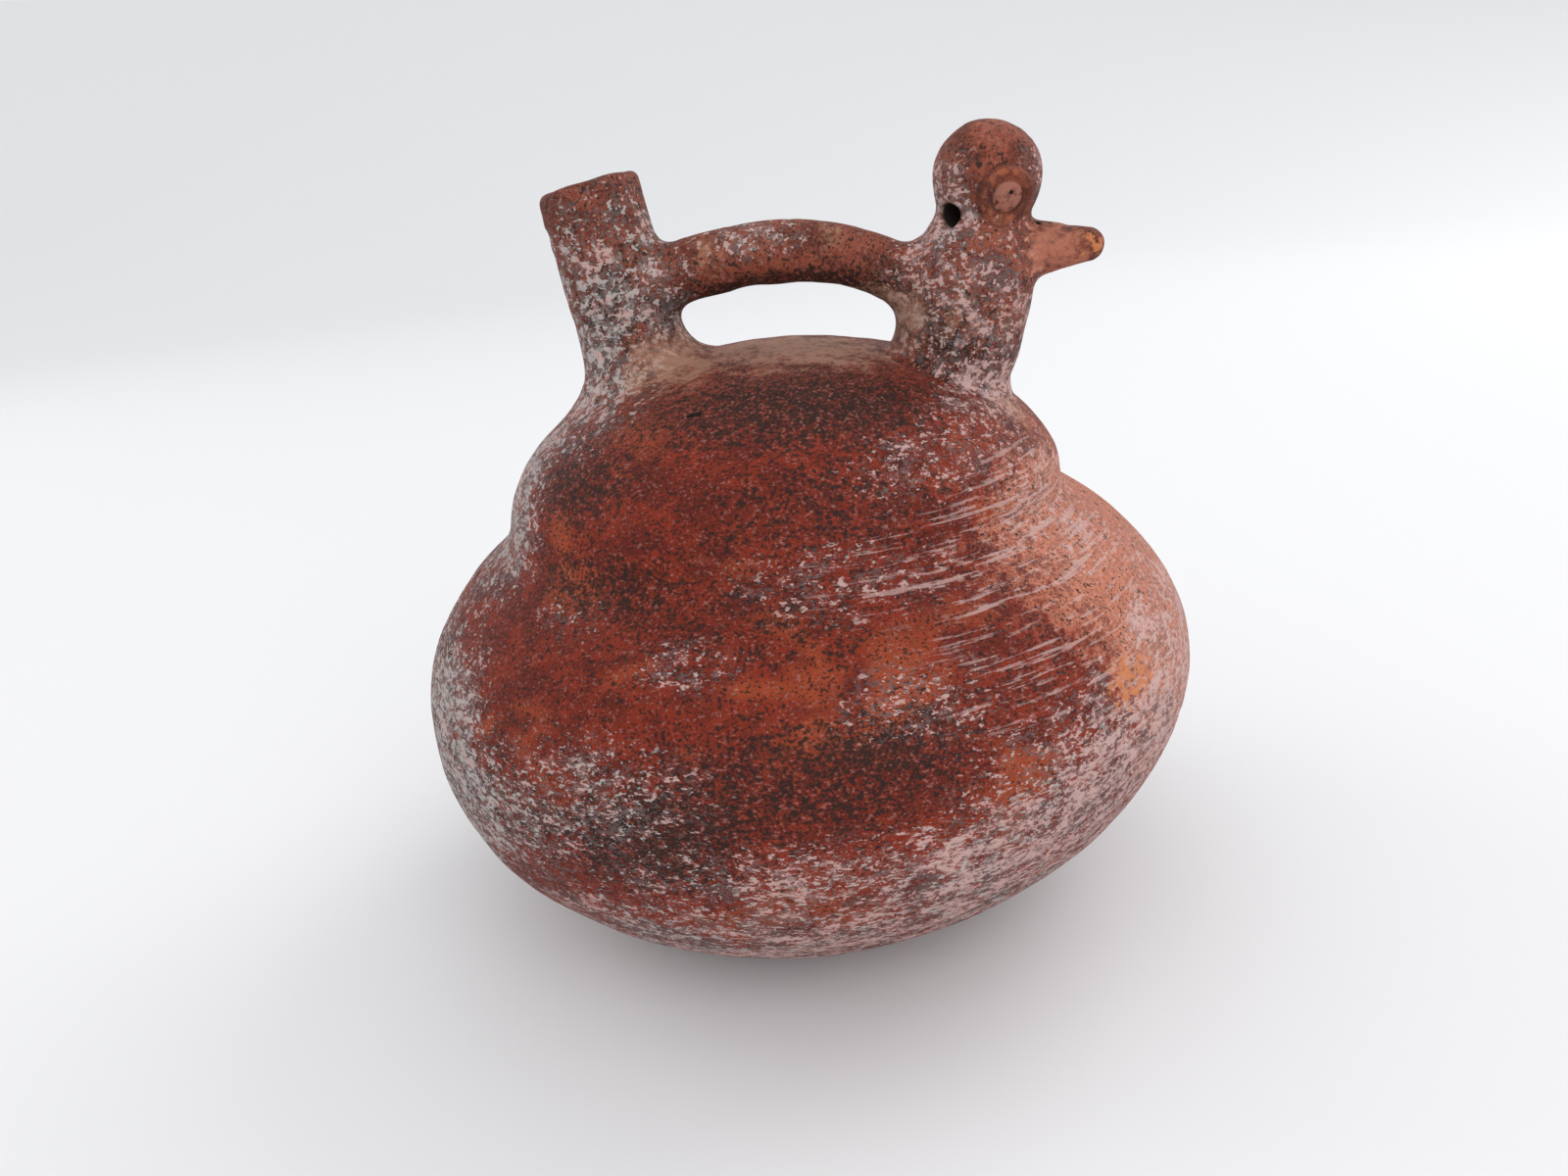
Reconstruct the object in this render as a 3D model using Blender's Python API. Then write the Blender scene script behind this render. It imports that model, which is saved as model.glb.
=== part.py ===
"""Spouted terracotta vessel with a duck's head, a Blender 4.5 script.

One hollow piece of fired clay: a round belly with a smaller domed shoulder on it, an open spout,
a neck that ends in a duck's head, and a round bar of clay that bridges the two above the dome.
The head is a hollow whistle with its sound hole at the nape.
Units are metres, +Z is up, the duck looks along +X and the origin is the middle of the underside.
"""

import math

import bmesh
import bpy
from mathutils import Matrix, Vector

MM = 0.001

# Belly: an upright ellipse turned round, taller below its widest ring than above it
BELLY_RADIUS = 92.0 * MM
BELLY_DEPTH = 64.6 * MM
BELLY_RISE = 54.4 * MM
BASE_RADIUS = 28.0 * MM
BELLY_LEAN = 0.09

# Domed shoulder that stands on the belly
DOME_RADIUS = 65.6 * MM
DOME_RISE = 36.8 * MM
WAIST_ABOVE_BELLY = 39.8 * MM
WAIST_BLEND = 4.5 * MM

# Clay thicknesses
BODY_WALL = 5.5 * MM
FLOOR_THICKNESS = 7.0 * MM
SPOUT_WALL = 4.2 * MM
NECK_WALL = 5.6 * MM
HEAD_WALL = 4.6 * MM

# Spout
SPOUT_SPREAD = 33.4 * MM
SPOUT_HEIGHT = 44.1 * MM
SPOUT_RADIUS = 11.4 * MM
SPOUT_LEAN = 7.0 * MM
SPOUT_BEND = 1.15
LIP_ROUND = 1.6 * MM

# Neck and head
NECK_SPREAD = 38.6 * MM
NECK_HEIGHT = 39.7 * MM
NECK_RADIUS = 13.8 * MM
NECK_LEAN = 10.1 * MM
NECK_BEND = 0.75
NECK_SWELL = 0.045
HEAD_RADIUS = 11.8 * MM

# Beak
BEAK_LENGTH = 25.0 * MM
BEAK_DROP = 16.0 * MM
BEAK_HALF_HEIGHT = 6.6 * MM
BEAK_HALF_WIDTH = 6.6 * MM

# Eyes: a ring of clay round a flat pellet, forward on each side
EYE_RING_RADIUS = 5.0 * MM
EYE_BEAD_RADIUS = 1.2 * MM
EYE_PELLET_RADIUS = 3.6 * MM
EYE_PELLET_RISE = 0.9 * MM
EYE_FORWARD = math.radians(20.5)
EYE_BELOW = math.radians(19.5)

# Whistle at the nape: its sound hole starts low in the hollow head
SOUND_HOLE_RADIUS = 2.5 * MM
SOUND_HOLE_DROP = 5.0 * MM
SOUND_HOLE_TURN = math.radians(50.0)
SOUND_HOLE_SLOPE = math.radians(12.0)
WINDWAY_RADIUS = 1.1 * MM

# Bridge
BRIDGE_RADIUS = 7.0 * MM
FINGER_GAP = 13.5 * MM
BRIDGE_SPOUT_DROP = 6.9 * MM
BRIDGE_NECK_DROP = 13.9 * MM

# Facets
BODY_SIDES = 60
BODY_RINGS = 26
CHAMBER_SIDES = 36
CHAMBER_RINGS = 18
TUBE_SIDES = 26
BORE_SIDES = 18

CLAY_COLOUR = (0.36, 0.075, 0.033, 1.0)
CLAY_ROUGHNESS = 0.55

# Places worked out from the sizes above
BELLY_Z = BELLY_DEPTH * math.sqrt(1.0 - (BASE_RADIUS / BELLY_RADIUS) ** 2)
DOME_Z = BELLY_Z + WAIST_ABOVE_BELLY
TOP_Z = DOME_Z + DOME_RISE
AXIS_X = BELLY_LEAN * BELLY_Z


def ellipse_radius(z, centre, half_width, half_height):
    """Radius of an upright ellipse at height z. It is negative beyond the ellipse's ends."""
    share = 1.0 - ((z - centre) / half_height) ** 2
    return math.copysign(half_width * math.sqrt(abs(share)), share)


def smooth_max(a, b, blend):
    """The larger of a and b, with the corner where they are equal filled in over the blend."""
    near = max(blend - abs(a - b), 0.0)
    return max(a, b) + near * near / (4.0 * blend)


def skin_radius(z, wall=0.0):
    """Radius of the body at height z, on the outer skin or one wall inside it."""
    half_height = (BELLY_DEPTH if z < BELLY_Z else BELLY_RISE) - wall
    belly = ellipse_radius(z, BELLY_Z, BELLY_RADIUS - wall, half_height)
    dome = ellipse_radius(z, DOME_Z, DOME_RADIUS - wall, DOME_RISE - wall)
    if z < BELLY_Z:
        return belly
    return max(smooth_max(belly, dome, WAIST_BLEND), 0.0)


def dome_height(spread):
    """Height of the dome's outer skin at a distance from its axis."""
    return DOME_Z + DOME_RISE * math.sqrt(1.0 - (spread / DOME_RADIUS) ** 2)


def even_steps(points, count):
    """The given number of points at even steps along a line of 2D points."""
    lengths = [0.0]
    for a, b in zip(points, points[1:]):
        lengths.append(lengths[-1] + math.dist(a, b))
    steps = []
    k = 0
    for i in range(count):
        target = lengths[-1] * i / (count - 1)
        while k < len(points) - 2 and lengths[k + 1] < target:
            k += 1
        share = (target - lengths[k]) / (lengths[k + 1] - lengths[k])
        steps.append(Vector(points[k]).lerp(Vector(points[k + 1]), share))
    return steps


def new_object(name, bm, material):
    """A smooth-shaded object made from a bmesh, with its normals pointing out."""
    bmesh.ops.recalc_face_normals(bm, faces=bm.faces)
    mesh = bpy.data.meshes.new(name)
    bm.to_mesh(mesh)
    bm.free()
    mesh.materials.append(material)
    mesh.shade_smooth()
    obj = bpy.data.objects.new(name, mesh)
    bpy.context.scene.collection.objects.link(obj)
    return obj


def turned_body(name, wall, floor, rings, sides, material):
    """The body's form turned round its axis, from the floor height to the top of the dome."""
    top = TOP_Z - wall
    fine = 400
    heights = [floor + (top - floor) * math.sin(math.pi / 2 * i / fine) for i in range(fine)]
    line = [(skin_radius(z, wall), z) for z in heights] + [(0.0, top)]
    outline = [Vector((0.0, floor))] + even_steps(line, rings)
    bm = bmesh.new()
    verts = [bm.verts.new((r, 0.0, z)) for r, z in outline]
    edges = [bm.edges.new(pair) for pair in zip(verts, verts[1:])]
    bmesh.ops.spin(
        bm, geom=verts + edges, cent=(0, 0, 0), axis=(0, 0, 1), angle=math.tau, steps=sides, use_merge=True
    )
    bmesh.ops.remove_doubles(bm, verts=bm.verts, dist=1e-6)
    for vert in bm.verts:
        vert.co.x += BELLY_LEAN * min(vert.co.z, BELLY_Z)
    return new_object(name, bm, material)


def loft(name, stations, sides, material):
    """A closed solid through ellipses that stand across a line in the XZ plane.

    Each station is (x, z, half size along Y, half size across the line in the XZ plane).
    """
    centres = [Vector((x, 0.0, z)) for x, z, _, _ in stations]
    bm = bmesh.new()
    rings = []
    for i, (centre, (_, _, half_y, half_across)) in enumerate(zip(centres, stations)):
        along = centres[min(i + 1, len(centres) - 1)] - centres[max(i - 1, 0)]
        across = along.normalized().cross(Vector((0, 1, 0)))
        ring = []
        for k in range(sides):
            turn = math.tau * k / sides
            offset = Vector((0, half_y * math.cos(turn), 0)) + across * (half_across * math.sin(turn))
            ring.append(bm.verts.new(centre + offset))
        rings.append(ring)
    for low, high in zip(rings, rings[1:]):
        for k in range(sides):
            bm.faces.new((low[k], low[(k + 1) % sides], high[(k + 1) % sides], high[k]))
    bm.faces.new(rings[0])
    bm.faces.new(rings[-1])
    return new_object(name, bm, material)


def ball(name, centre, radius, material, segments=26, rings=14):
    bm = bmesh.new()
    bmesh.ops.create_uvsphere(bm, u_segments=segments, v_segments=rings, radius=radius)
    bmesh.ops.translate(bm, vec=centre, verts=bm.verts)
    return new_object(name, bm, material)


def spout_path(share):
    """Point of the spout's centreline, from 0 at its foot on the dome to 1 at its rim."""
    out = SPOUT_SPREAD + SPOUT_LEAN * max(share, 0.0) ** SPOUT_BEND
    return AXIS_X - out, dome_height(SPOUT_SPREAD) + SPOUT_HEIGHT * share


def neck_path(share):
    """Point of the neck's centreline, from 0 at its foot on the dome to 1 at the head's centre."""
    out = NECK_SPREAD + NECK_LEAN * max(share, 0.0) ** NECK_BEND
    return AXIS_X + out, dome_height(NECK_SPREAD) + NECK_HEIGHT * share


def head_centre():
    x, z = neck_path(1.0)
    return Vector((x, 0.0, z))


def spout_radius(share):
    """Outer radius of the spout, which flares where it grows out of the dome."""
    return SPOUT_RADIUS * (1.0 + 0.15 * max(0.32 - share, 0.0) / 0.32)


def neck_radius(share):
    """Outer radius of the neck, which swells above its foot and tapers to a narrow nape."""
    swell = NECK_SWELL * math.sin(math.pi * min(max(share / 0.6, 0.0), 1.0))
    narrow = min(max(share - 0.42, 0.0) / 0.42, 1.0)
    return NECK_RADIUS * (1.0 + swell - 0.33 * narrow * narrow * (3.0 - 2.0 * narrow))


def spout(material):
    stations = []
    for i in range(-3, 10):
        share = i / 10
        stations.append((*spout_path(share), spout_radius(share)))
    lip_share = LIP_ROUND / SPOUT_HEIGHT
    for turn in (0.0, 30.0, 60.0, 90.0):
        share = 1.0 - lip_share * (1.0 - math.sin(math.radians(turn)))
        inset = LIP_ROUND * (1.0 - math.cos(math.radians(turn)))
        stations.append((*spout_path(share), SPOUT_RADIUS - inset))
    return loft("spout", [(x, z, r, r) for x, z, r in stations], TUBE_SIDES, material)


def spout_bore(material):
    stations = []
    for share in (-0.42, -0.2, 0.0, 0.2, 0.4, 0.6, 0.8, 1.0, 1.06):
        radius = spout_radius(share) - SPOUT_WALL
        stations.append((*spout_path(share), radius, radius))
    return loft("spout_bore", stations, BORE_SIDES, material)


def neck(material):
    stations = []
    for share in (-0.22, -0.1, 0.0, 0.1, 0.2, 0.3, 0.42, 0.54, 0.66, 0.78, 0.9):
        radius = neck_radius(share)
        stations.append((*neck_path(share), radius, radius))
    return loft("neck", stations, TUBE_SIDES, material)


def neck_bore(material):
    stations = []
    for share in (-0.45, -0.2, 0.0, 0.2, 0.4, 0.5):
        radius = neck_radius(share) - NECK_WALL
        stations.append((*neck_path(share), radius, radius))
    end = neck_radius(0.55) - NECK_WALL
    stations.append((*neck_path(0.55), 0.55 * end, 0.55 * end))
    return loft("neck_bore", stations, BORE_SIDES, material)


def beak(material):
    """The bill, a blunt cone that is a little wider than it is tall. Its shares are of its length."""
    shape = ((0.0, 1.0), (0.3, 1.0), (0.45, 0.94), (0.6, 0.85), (0.74, 0.73), (0.86, 0.58), (0.94, 0.41), (1.0, 0.16))
    head = head_centre()
    stations = []
    for share, size in shape:
        x = head.x + BEAK_LENGTH * share
        z = head.z - BEAK_DROP
        stations.append((x, z, BEAK_HALF_WIDTH * size ** 0.85, BEAK_HALF_HEIGHT * size))
    return loft("beak", stations, 20, material)


def eye_direction(side):
    """Unit vector from the head's centre through an eye; side is -1 or 1 along Y."""
    level = math.cos(EYE_BELOW)
    return Vector((level * math.sin(EYE_FORWARD), side * level * math.cos(EYE_FORWARD), -math.sin(EYE_BELOW)))


def facing(direction, place):
    """Matrix that turns +Z to a direction and moves the origin to a place."""
    return Matrix.Translation(place) @ direction.to_track_quat("Z", "Y").to_matrix().to_4x4()


def eye_ring(name, side, material):
    bm = bmesh.new()
    bmesh.ops.create_circle(bm, segments=8, radius=EYE_BEAD_RADIUS)
    bmesh.ops.rotate(bm, cent=(0, 0, 0), matrix=Matrix.Rotation(math.pi / 2, 3, "X"), verts=bm.verts)
    bmesh.ops.translate(bm, vec=(EYE_RING_RADIUS, 0, 0), verts=bm.verts)
    bmesh.ops.spin(
        bm, geom=bm.verts[:] + bm.edges[:], cent=(0, 0, 0), axis=(0, 0, 1), angle=math.tau, steps=24, use_merge=True
    )
    reach = math.sqrt(HEAD_RADIUS ** 2 - EYE_RING_RADIUS ** 2)
    direction = eye_direction(side)
    bmesh.ops.transform(bm, matrix=facing(direction, head_centre() + direction * reach), verts=bm.verts)
    return new_object(name, bm, material)


def eye_pellet(name, side, material):
    bm = bmesh.new()
    bmesh.ops.create_uvsphere(bm, u_segments=16, v_segments=8, radius=1.0)
    sink = math.sqrt(HEAD_RADIUS ** 2 - EYE_PELLET_RADIUS ** 2)
    rise = HEAD_RADIUS + EYE_PELLET_RISE - sink
    bmesh.ops.scale(bm, vec=(EYE_PELLET_RADIUS, EYE_PELLET_RADIUS, rise), verts=bm.verts)
    direction = eye_direction(side)
    bmesh.ops.transform(bm, matrix=facing(direction, head_centre() + direction * sink), verts=bm.verts)
    return new_object(name, bm, material)


def bridge_path(share):
    """Centreline of the bridge, a low arch from the spout's axis at 0 to the neck's axis at 1."""
    start = AXIS_X - SPOUT_SPREAD
    end = AXIS_X + NECK_SPREAD
    crown = TOP_Z + FINGER_GAP + BRIDGE_RADIUS
    drop = BRIDGE_SPOUT_DROP if share < 0.5 else BRIDGE_NECK_DROP
    return start + (end - start) * share, crown - drop * (2.0 * abs(share - 0.5)) ** 2


def bridge(material):
    """The round bar of clay between spout and neck, thicker where it is pressed on."""
    steps = 14
    stations = []
    for i in range(steps + 1):
        share = i / steps
        radius = BRIDGE_RADIUS * (1.0 + 0.25 * (2.0 * abs(share - 0.5)) ** 5)
        stations.append((*bridge_path(share), radius, radius))
    return loft("bridge", stations, 20, material)


def sound_hole_axis():
    """Unit vector from the hollow head out through the sound hole, on the -Y side of the nape."""
    level = math.cos(SOUND_HOLE_SLOPE)
    return Vector(
        (-level * math.sin(SOUND_HOLE_TURN), -level * math.cos(SOUND_HOLE_TURN), -math.sin(SOUND_HOLE_SLOPE))
    )


def rod(name, start, end, radius, sides, material):
    """A straight cylinder between two points."""
    bm = bmesh.new()
    length = (end - start).length
    bmesh.ops.create_cone(bm, cap_ends=True, segments=sides, radius1=radius, radius2=radius, depth=length)
    bmesh.ops.transform(bm, matrix=facing((end - start).normalized(), (start + end) / 2), verts=bm.verts)
    return new_object(name, bm, material)


def sound_hole(material):
    start = head_centre() - Vector((0.0, 0.0, SOUND_HOLE_DROP))
    return rod("sound_hole", start, start + sound_hole_axis() * 1.5 * HEAD_RADIUS, SOUND_HOLE_RADIUS, 14, material)


def windway(material):
    """The narrow duct that leads the air from the neck's bore into the hollow head."""
    x, z = neck_path(0.45)
    return rod("windway", Vector((x, 0.0, z)), head_centre(), WINDWAY_RADIUS, 8, material)


def combine(target, piece, operation):
    """Joins a piece to the target, or cuts it out, and leaves the piece as a guide that isn't rendered."""
    modifier = target.modifiers.new(piece.name, "BOOLEAN")
    modifier.operation = operation
    modifier.object = piece
    modifier.solver = "EXACT"
    piece.hide_render = True
    piece.display_type = "WIRE"


def clay():
    material = bpy.data.materials.new("burnished_red_clay")
    material.use_nodes = True
    shader = material.node_tree.nodes["Principled BSDF"]
    shader.inputs["Base Color"].default_value = CLAY_COLOUR
    shader.inputs["Roughness"].default_value = CLAY_ROUGHNESS
    shader.inputs["Metallic"].default_value = 0.0
    return material


def main():
    for obj in list(bpy.data.objects):
        bpy.data.objects.remove(obj)
    material = clay()
    vessel = turned_body("vessel", 0.0, 0.0, BODY_RINGS, BODY_SIDES, material)
    solids = [spout(material), neck(material), bridge(material), beak(material)]
    solids.append(ball("head", head_centre(), HEAD_RADIUS, material))
    for side, word in ((-1, "right"), (1, "left")):
        solids.append(eye_ring(f"{word}_eye_ring", side, material))
        solids.append(eye_pellet(f"{word}_eye_pellet", side, material))
    hollows = [
        turned_body("chamber", BODY_WALL, FLOOR_THICKNESS, CHAMBER_RINGS, CHAMBER_SIDES, material),
        spout_bore(material),
        neck_bore(material),
        ball("whistle_chamber", head_centre(), HEAD_RADIUS - HEAD_WALL, material, 16, 10),
        sound_hole(material),
        windway(material),
    ]
    for piece in solids:
        combine(vessel, piece, "UNION")
    for piece in hollows:
        combine(vessel, piece, "DIFFERENCE")


main()
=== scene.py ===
"""The dressed model of the spouted terracotta vessel with a duck's head.

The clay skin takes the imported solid, turns its facets into one soft hand-built form with rounded
joins, and adds dents, pits and wear. Lengths are in millimetres until the mesh is written.
"""

import math

import bmesh
import bpy
import numpy as np
from mathutils import Matrix, Vector


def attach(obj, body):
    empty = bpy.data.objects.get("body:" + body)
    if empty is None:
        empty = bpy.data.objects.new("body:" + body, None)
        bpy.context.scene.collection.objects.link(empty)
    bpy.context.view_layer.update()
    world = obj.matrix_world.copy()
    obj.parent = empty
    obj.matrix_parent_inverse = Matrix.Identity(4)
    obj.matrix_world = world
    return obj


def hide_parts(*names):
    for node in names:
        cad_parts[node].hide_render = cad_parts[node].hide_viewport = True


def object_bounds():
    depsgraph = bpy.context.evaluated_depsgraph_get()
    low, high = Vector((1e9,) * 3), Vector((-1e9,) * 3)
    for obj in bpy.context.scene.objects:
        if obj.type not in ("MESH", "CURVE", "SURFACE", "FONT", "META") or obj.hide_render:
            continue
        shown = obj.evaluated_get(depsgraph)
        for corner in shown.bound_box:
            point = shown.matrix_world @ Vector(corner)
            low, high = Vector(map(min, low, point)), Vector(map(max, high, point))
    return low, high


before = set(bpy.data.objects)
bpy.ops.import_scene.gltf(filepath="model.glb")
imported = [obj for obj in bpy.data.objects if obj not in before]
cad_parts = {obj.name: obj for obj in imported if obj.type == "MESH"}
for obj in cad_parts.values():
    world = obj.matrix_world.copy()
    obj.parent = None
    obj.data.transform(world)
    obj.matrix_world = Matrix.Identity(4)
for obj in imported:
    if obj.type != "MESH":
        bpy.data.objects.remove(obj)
CAD_BOX = [list(corner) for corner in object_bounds()]

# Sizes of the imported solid
BELLY_RADIUS = 92.0
BELLY_DEPTH = 64.6
BELLY_RISE = 54.4
BASE_RADIUS = 28.0
BELLY_LEAN = 0.09
DOME_RADIUS = 65.6
DOME_RISE = 36.8
WAIST_ABOVE_BELLY = 39.8
BODY_WALL = 5.5
FLOOR_THICKNESS = 7.0
SPOUT_WALL = 4.2
NECK_WALL = 5.6
HEAD_WALL = 4.6
SPOUT_SPREAD = 33.4
SPOUT_HEIGHT = 44.1
SPOUT_RADIUS = 11.4
SPOUT_LEAN = 7.0
SPOUT_BEND = 1.15
SPOUT_FOOT_FLARE = 0.15
SPOUT_FOOT_SHARE = 0.32
NECK_SPREAD = 38.6
NECK_HEIGHT = 39.7
NECK_RADIUS = 13.8
NECK_LEAN = 10.1
NECK_BEND = 0.75
NECK_SWELL = 0.045
NECK_SWELL_SHARE = 0.6
NECK_NARROWS_FROM = 0.42
NECK_NARROWS_OVER = 0.42
NECK_NARROWING = 0.33
HEAD_RADIUS = 11.8
BEAK_LENGTH = 25.0
BEAK_DROP = 16.0
BEAK_HALF_HEIGHT = 6.6
BEAK_HALF_WIDTH = 6.6
BEAK_TAPER = 0.42
BEAK_TAPERS_FROM = 0.20
BEAK_TAPERS_OVER = 0.65
BEAK_TAPER_POWER = 1.5
BEAK_STRAIGHT_SHARE = 0.84
BEAK_TIP_FLATTENING = 0.15
EYE_RING_RADIUS = 5.0
EYE_BEAD_RADIUS = 1.2
EYE_PELLET_RADIUS = 3.6
EYE_GROOVE_RADIUS = 3.55
EYE_GROOVE_BEAD = 0.55
EYE_GROOVE_HEIGHT = 0.2
EYE_PELLET_RISE = 0.9
EYE_FORWARD = math.radians(20.5)
EYE_BELOW = math.radians(19.5)
SOUND_HOLE_RADIUS = 2.5
SOUND_HOLE_DROP = 5.0
SOUND_HOLE_TURN = math.radians(50.0)
SOUND_HOLE_SLOPE = math.radians(12.0)
WINDWAY_RADIUS = 1.1
WINDWAY_FOOT_SHARE = 0.45
BRIDGE_RADIUS = 7.0
FINGER_GAP = 13.5
BRIDGE_SPOUT_DROP = 6.9
BRIDGE_NECK_DROP = 13.9

BELLY_Z = BELLY_DEPTH * math.sqrt(1.0 - (BASE_RADIUS / BELLY_RADIUS) ** 2)
DOME_Z = BELLY_Z + WAIST_ABOVE_BELLY
TOP_Z = DOME_Z + DOME_RISE
AXIS_X = BELLY_LEAN * BELLY_Z

# How softly one form runs into the next
WAIST_SOFTNESS = 5.0
SPOUT_FOOT_SOFTNESS = 9.0
NECK_FOOT_SOFTNESS = 2.6
BRIDGE_SOFTNESS = 5.0
NAPE_SOFTNESS = 3.0
BEAK_SOFTNESS = 3.2
EYE_SOFTNESS = 0.4
SPOUT_RIM_SOFTNESS = 2.2
HOLE_RIM_SOFTNESS = 1.1
BASE_SOFTNESS = 2.0

# Where the hand-built form leaves the turned one
DOME_SHIFT = 1.5
BREAST_TUCK = 0.03
TUCK_TOP = 10.0
TUCK_FADE = 12.0
TUCK_FULL_AT = 40.0
SPOUT_SWELL = 0.055
SPOUT_BOW = 0.5
SPOUT_RIM_WEAR = 0.05
# Each wave of the spout's rim: its height, how many go round, and where it starts
SPOUT_RIM_WAVES = ((0.22, 2.0, 0.6), (0.13, 5.0, 2.0))

# Stations from foot (0) to end (1) of the ways inside the spout and the neck
SPOUT_WAY = (-0.42, -0.2, 0.0, 0.2, 0.4, 0.6, 0.8, 1.0, 1.2)
NECK_WAY = (-0.45, -0.2, 0.0, 0.2, 0.4, 0.5)

# The mesh of the skin
MM_PER_M = 1000.0
VOXEL = 0.72
SKIN_TRIANGLES = 186000
EYE_REACH = 7.4

# The distance fields: where the forms above the dome begin, a distance past every form, how far
# out a tube's own distance is worked out, the least slope trusted and a point's longest stride
UPPER_FORMS_Z = 112.0
FAR = 60.0
TUBE_MARGIN = 14.0
LEAST_STEEPNESS = 0.35
LONGEST_STRIDE = 1.2

# Depth of wear that leaves the skin on the smooth form, as a mean
MEAN_WEAR = 0.72

# The clay's grain lies in level streaks up to this height, and in even blobs above it
LEVEL_GRAIN_TOP = 126.0
UPPER_GRAIN_SQUASH = 0.36

# Painted shade deep in the sound hole: how far along the hole it lies, and its radius and soft edge
HOLE_SHADE_ALONG = 8.6
HOLE_SHADE_RADIUS = 3.1
HOLE_SHADE_EDGE = 1.0


def dome_height(spread):
    return DOME_Z + DOME_RISE * math.sqrt(1.0 - (spread / DOME_RADIUS) ** 2)


def spout_path(share):
    out = SPOUT_SPREAD + SPOUT_LEAN * max(share, 0.0) ** SPOUT_BEND
    return AXIS_X - out, dome_height(SPOUT_SPREAD) + SPOUT_HEIGHT * share


def neck_path(share):
    out = NECK_SPREAD + NECK_LEAN * max(share, 0.0) ** NECK_BEND
    return AXIS_X + out, dome_height(NECK_SPREAD) + NECK_HEIGHT * share


def bow(share):
    """0 at both ends of a path and 1 in its middle."""
    return math.sin(math.pi * min(max(share, 0.0), 1.0))


def spout_radius(share):
    flare = SPOUT_FOOT_FLARE * max(SPOUT_FOOT_SHARE - share, 0.0) / SPOUT_FOOT_SHARE
    return SPOUT_RADIUS * (1.0 + flare)


def neck_radius(share):
    swell = NECK_SWELL * bow(share / NECK_SWELL_SHARE)
    narrow = min(max(share - NECK_NARROWS_FROM, 0.0) / NECK_NARROWS_OVER, 1.0)
    return NECK_RADIUS * (1.0 + swell - NECK_NARROWING * narrow * narrow * (3.0 - 2.0 * narrow))


def place(x, y, z):
    return np.array([x, y, z], float)


def middle_place(x, z):
    """A place in the middle plane of the vessel."""
    return place(x, 0.0, z)


def side_direction(forward, side, below):
    """A direction to one side, turned forward and tipped down by the given angles."""
    level = math.cos(below)
    return place(level * math.sin(forward), side * level * math.cos(forward), -math.sin(below))


def eye_direction(side):
    return side_direction(EYE_FORWARD, side, EYE_BELOW)


HEAD = middle_place(*neck_path(1.0))
SOUND_HOLE_START = HEAD - place(0.0, 0.0, SOUND_HOLE_DROP)
SOUND_HOLE_AXIS = side_direction(-SOUND_HOLE_TURN, -1, SOUND_HOLE_SLOPE)


def away(p, centre):
    return np.linalg.norm(p - centre, axis=1)


def soft_join(a, b, blend):
    """The union of two distance fields with a fillet."""
    near = np.maximum(blend - np.abs(a - b), 0.0)
    return np.minimum(a, b) - near * near / (4.0 * blend)


def soft_cut(a, b, blend):
    """Field a without field b, with the rim rounded over."""
    return -soft_join(-a, b, blend)


def ellipsoid(p, centre, radii):
    radii = np.asarray(radii, float)
    q = (p - centre) / radii
    size = np.linalg.norm(q, axis=1)
    steepness = np.linalg.norm(q / radii, axis=1)
    return size * (size - 1.0) / np.maximum(steepness, 1e-9)


def body_form(p, wall):
    q = p.copy()
    q[:, 0] -= BELLY_LEAN * np.minimum(p[:, 2], BELLY_Z)
    wide = BELLY_RADIUS - wall
    low = ellipsoid(q, (0, 0, BELLY_Z), (wide, wide, BELLY_DEPTH - wall))
    high = ellipsoid(q, (0, 0, BELLY_Z), (wide, wide, BELLY_RISE - wall))
    belly = np.where(q[:, 2] < BELLY_Z, low, high)
    dome_size = (DOME_RADIUS - wall, DOME_RADIUS - wall, DOME_RISE - wall)
    q[:, 0] += DOME_SHIFT
    near_crease = ramp(DOME_Z + TUCK_TOP - q[:, 2], 0.0, TUCK_FADE)
    tuck = BREAST_TUCK * near_crease * ramp(q[:, 0], 0.0, TUCK_FULL_AT)
    q[:, :2] *= (1.0 + tuck)[:, None]
    return soft_join(belly, ellipsoid(q, (0, 0, DOME_Z), dome_size), WAIST_SOFTNESS)


def rod(p, start, end, start_radius, end_radius):
    """Distance to a straight round bar, which may narrow from start to end."""
    along = end - start
    t = np.clip((p - start) @ along / (along @ along), 0.0, 1.0)
    radius = start_radius + (end_radius - start_radius) * t
    return np.linalg.norm(p - start - t[:, None] * along, axis=1) - radius


def stations_along(path, radius, shares, wall=0.0):
    return [(*path(share), radius(share) - wall) for share in shares]


def tube(p, stations):
    """Distance to a round bar through stations (x, z, radius) in the XZ plane."""
    s = np.array(stations, float)
    points = np.stack([s[:, 0], np.zeros(len(s)), s[:, 1]], 1)
    reach = s[:, 2].max() + TUBE_MARGIN
    out = np.full(len(p), FAR)
    near = np.all((p > points.min(0) - reach) & (p < points.max(0) + reach), axis=1)
    q = p[near]
    best = np.full(len(q), FAR)
    for a, b, ra, rb in zip(points, points[1:], s[:, 2], s[1:, 2]):
        best = np.minimum(best, rod(q, a, b, ra, rb))
    out[near] = best
    return out


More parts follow.
